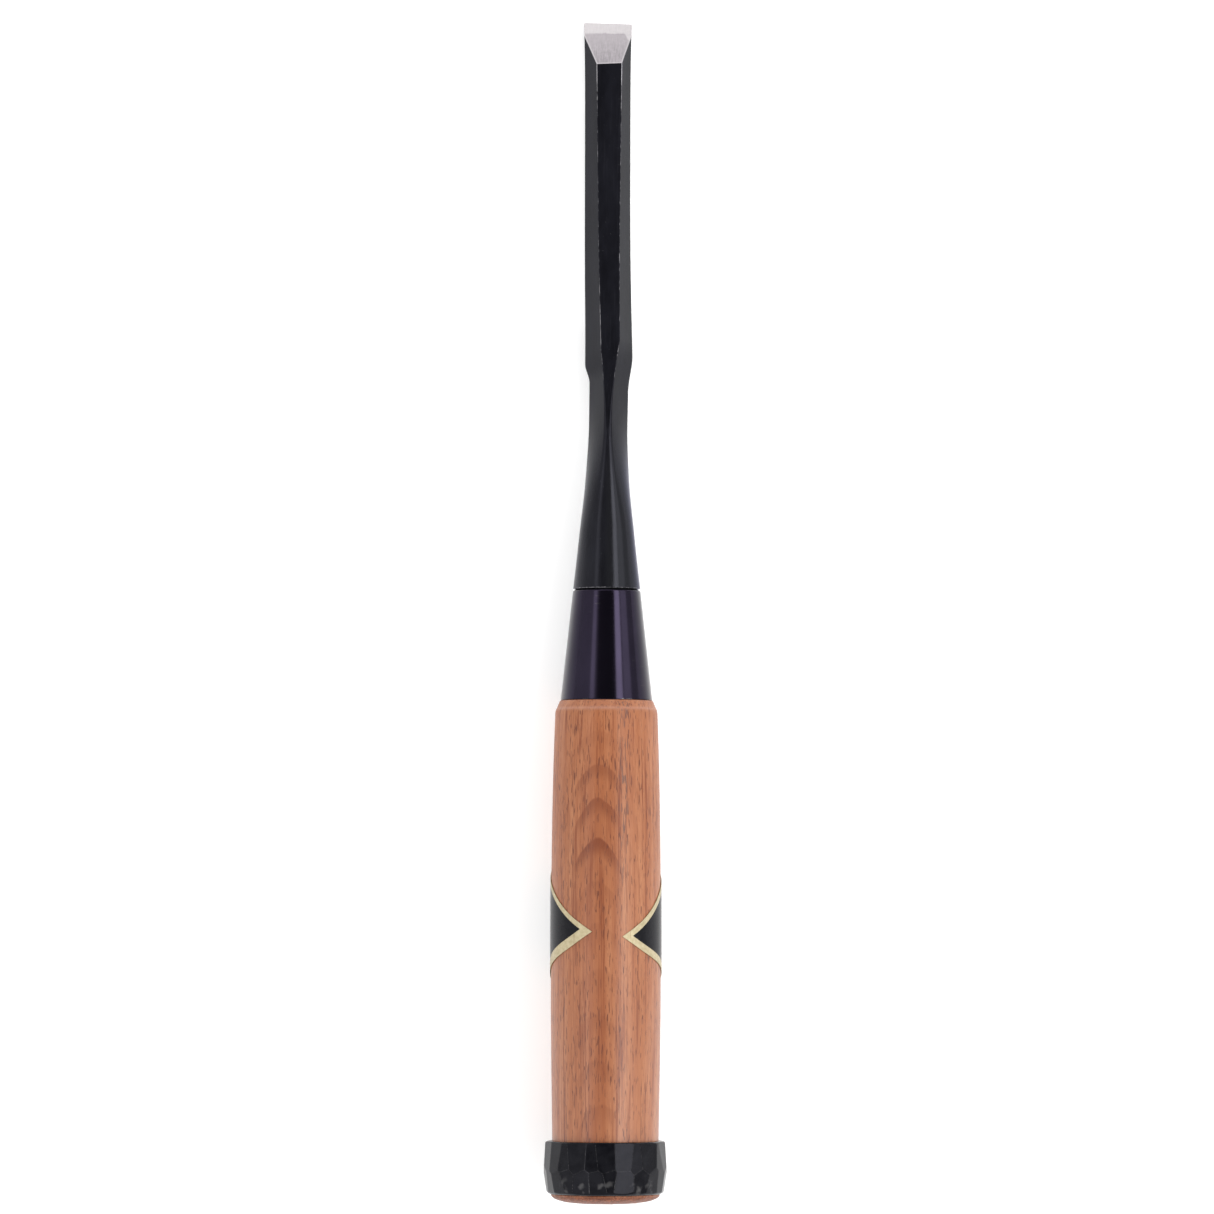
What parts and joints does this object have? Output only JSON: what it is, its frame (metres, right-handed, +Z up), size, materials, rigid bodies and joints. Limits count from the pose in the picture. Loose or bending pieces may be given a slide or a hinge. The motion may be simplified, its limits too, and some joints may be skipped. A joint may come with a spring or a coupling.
{
  "type": "striking chisel",
  "caption": "Japanese-pattern striking chisel with a narrow bevelled blade, flared collar, conical ferrule, turned wooden handle and an iron hoop on the struck end.",
  "frame": {"origin": "on the bench surface, under the centre of the tool's bounding box", "axes": "+Y along the tool towards the cutting edge, +Z up from the bench on the bevel side, +X to the tool's right seen from above with the edge away; the tool axis is pitched 2.52 degrees, edge down, as it rests on the cutting edge and the front swell of the handle"},
  "size_m": [0.0228, 0.2198, 0.0245],
  "materials": {
    "forged_iron": "black forge scale, satin, worn bright on the ridges",
    "hard_steel": "ground bright on a fine stone",
    "blued_ferrule": "turned and blued to a dark purple, satin",
    "handle_wood": "reddish-brown open-pored hardwood, thinly varnished",
    "blackened_iron": "hammered facets, blackened",
    "label_film": "thin glossy film, black with a gold border"
  },
  "bodies": {
    "root": {"blade": "forged_iron", "cutting_steel": "hard_steel", "ferrule": "blued_ferrule", "handle": "handle_wood", "hoop": "blackened_iron", "handle_label": "label_film"}
  },
  "joints": []
}
